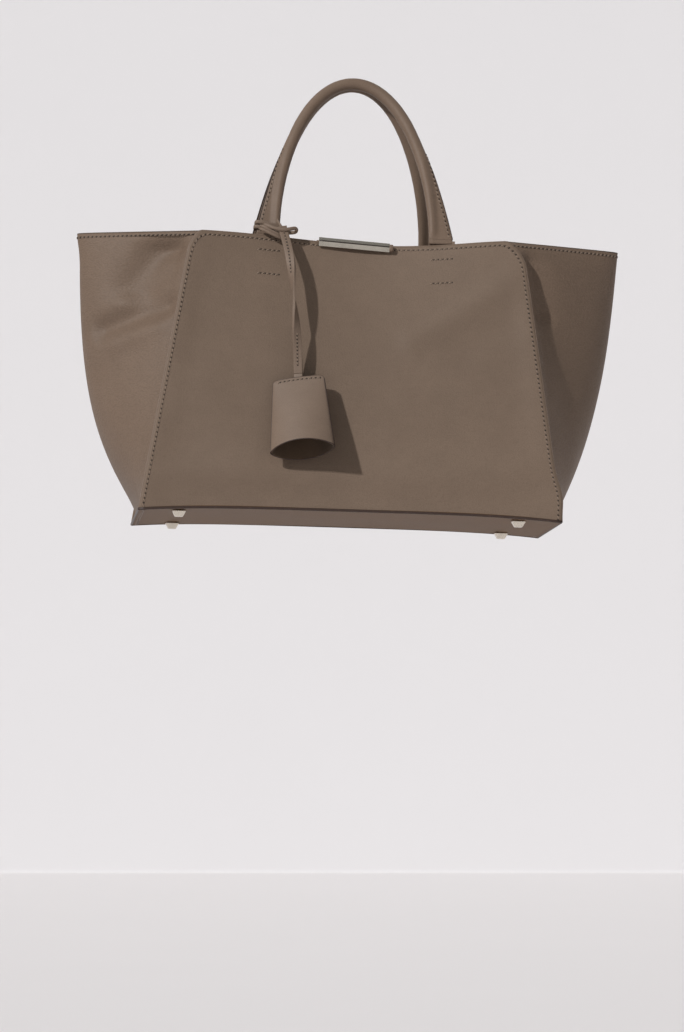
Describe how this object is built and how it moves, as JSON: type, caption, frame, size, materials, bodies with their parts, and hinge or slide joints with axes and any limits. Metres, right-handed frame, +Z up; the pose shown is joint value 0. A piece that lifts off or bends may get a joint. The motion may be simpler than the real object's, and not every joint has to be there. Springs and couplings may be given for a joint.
{
  "type": "tote bag",
  "caption": "Structured leather tote bag with folded wing sides, rolled top handles, metal feet, a rim bar and a hanging bell-shaped sleeve on a twisted strap.",
  "frame": {"origin": "on the ground under the middle of the bag", "axes": "+Z up, -Y out of the front face, +X to the right as the front is looked at"},
  "size_m": [0.468, 0.1974, 0.391],
  "materials": {
    "panel_leather": "grained, satin",
    "handle_leather": "grained, satin",
    "strap_leather": "grained, satin",
    "lining_suede": "matt suede",
    "stiffener_fibre": "matt bonded leather fibre",
    "base_board": "matt bonded leather board",
    "handle_rope": "matt cotton rope",
    "plated_metal": "pale gold, polished",
    "washer_steel": "brushed",
    "magnet_steel": "plated"
  },
  "bodies": {
    "bag": {"front_panel": "panel_leather", "front_stiffener": "stiffener_fibre", "front_facing": "panel_leather", "front_lining": "lining_suede", "front_handle_tab_left": "handle_leather", "front_handle_tab_right": "handle_leather", "front_magnet": "magnet_steel", "back_panel": "panel_leather", "back_stiffener": "stiffener_fibre", "back_facing": "panel_leather", "back_lining": "lining_suede", "back_handle_tab_left": "handle_leather", "back_handle_tab_right": "handle_leather", "back_magnet": "magnet_steel", "left_gusset": "panel_leather", "left_facing": "panel_leather", "left_lining": "lining_suede", "right_gusset": "panel_leather", "right_facing": "panel_leather", "right_lining": "lining_suede", "base_panel": "panel_leather", "base_board": "base_board", "base_lining": "lining_suede", "foot_front_left": "plated_metal", "washer_front_left": "washer_steel", "foot_front_right": "plated_metal", "washer_front_right": "washer_steel", "foot_back_left": "plated_metal", "washer_back_left": "washer_steel", "foot_back_right": "plated_metal", "washer_back_right": "washer_steel", "front_rim_seat": "panel_leather", "front_rim_bar": "plated_metal"},
    "front_handle": {"front_handle": "handle_leather", "front_handle_core": "handle_rope", "lanyard_loop_lower": "strap_leather", "lanyard_loop_upper": "strap_leather"},
    "back_handle": {"back_handle": "handle_leather", "back_handle_core": "handle_rope"},
    "lanyard_neck": {"lanyard_neck": "strap_leather"},
    "lanyard": {"lanyard_strap": "strap_leather"},
    "clochette": {"lanyard_tail": "strap_leather", "clochette_front": "strap_leather", "clochette_back": "strap_leather"}
  },
  "joints": [
    {"name": "front_handle_fold", "type": "hinge", "parent": "bag", "child": "front_handle", "pos_m": [0, -0.0479, 0.24667], "axis": [1, 0, 0], "range_deg": [0, 90]},
    {"name": "back_handle_fold", "type": "hinge", "parent": "bag", "child": "back_handle", "pos_m": [0, 0.0479, 0.24667], "axis": [-1, 0, 0], "range_deg": [0, 90]},
    {"name": "lanyard_drop", "type": "hinge", "parent": "front_handle", "child": "lanyard_neck", "pos_m": [-0.064, -0.0539, 0.258], "axis": [1, 0, 0], "range_deg": [-90, 0]},
    {"name": "lanyard_swing", "type": "hinge", "parent": "lanyard_neck", "child": "lanyard", "pos_m": [-0.05651, -0.07037, 0.22463], "axis": [0, -0.9304, 0.3665], "range_deg": [-14, 14]},
    {"name": "clochette_tilt", "type": "hinge", "parent": "lanyard", "child": "clochette", "pos_m": [-0.0474, -0.0802, 0.1227], "axis": [-0.9609, 0.2419, -0.135], "range_deg": [0, 50]}
  ],
  "couplings": [
    {"joint": "lanyard_drop", "follows": "front_handle_fold", "ratio": -1}
  ]
}
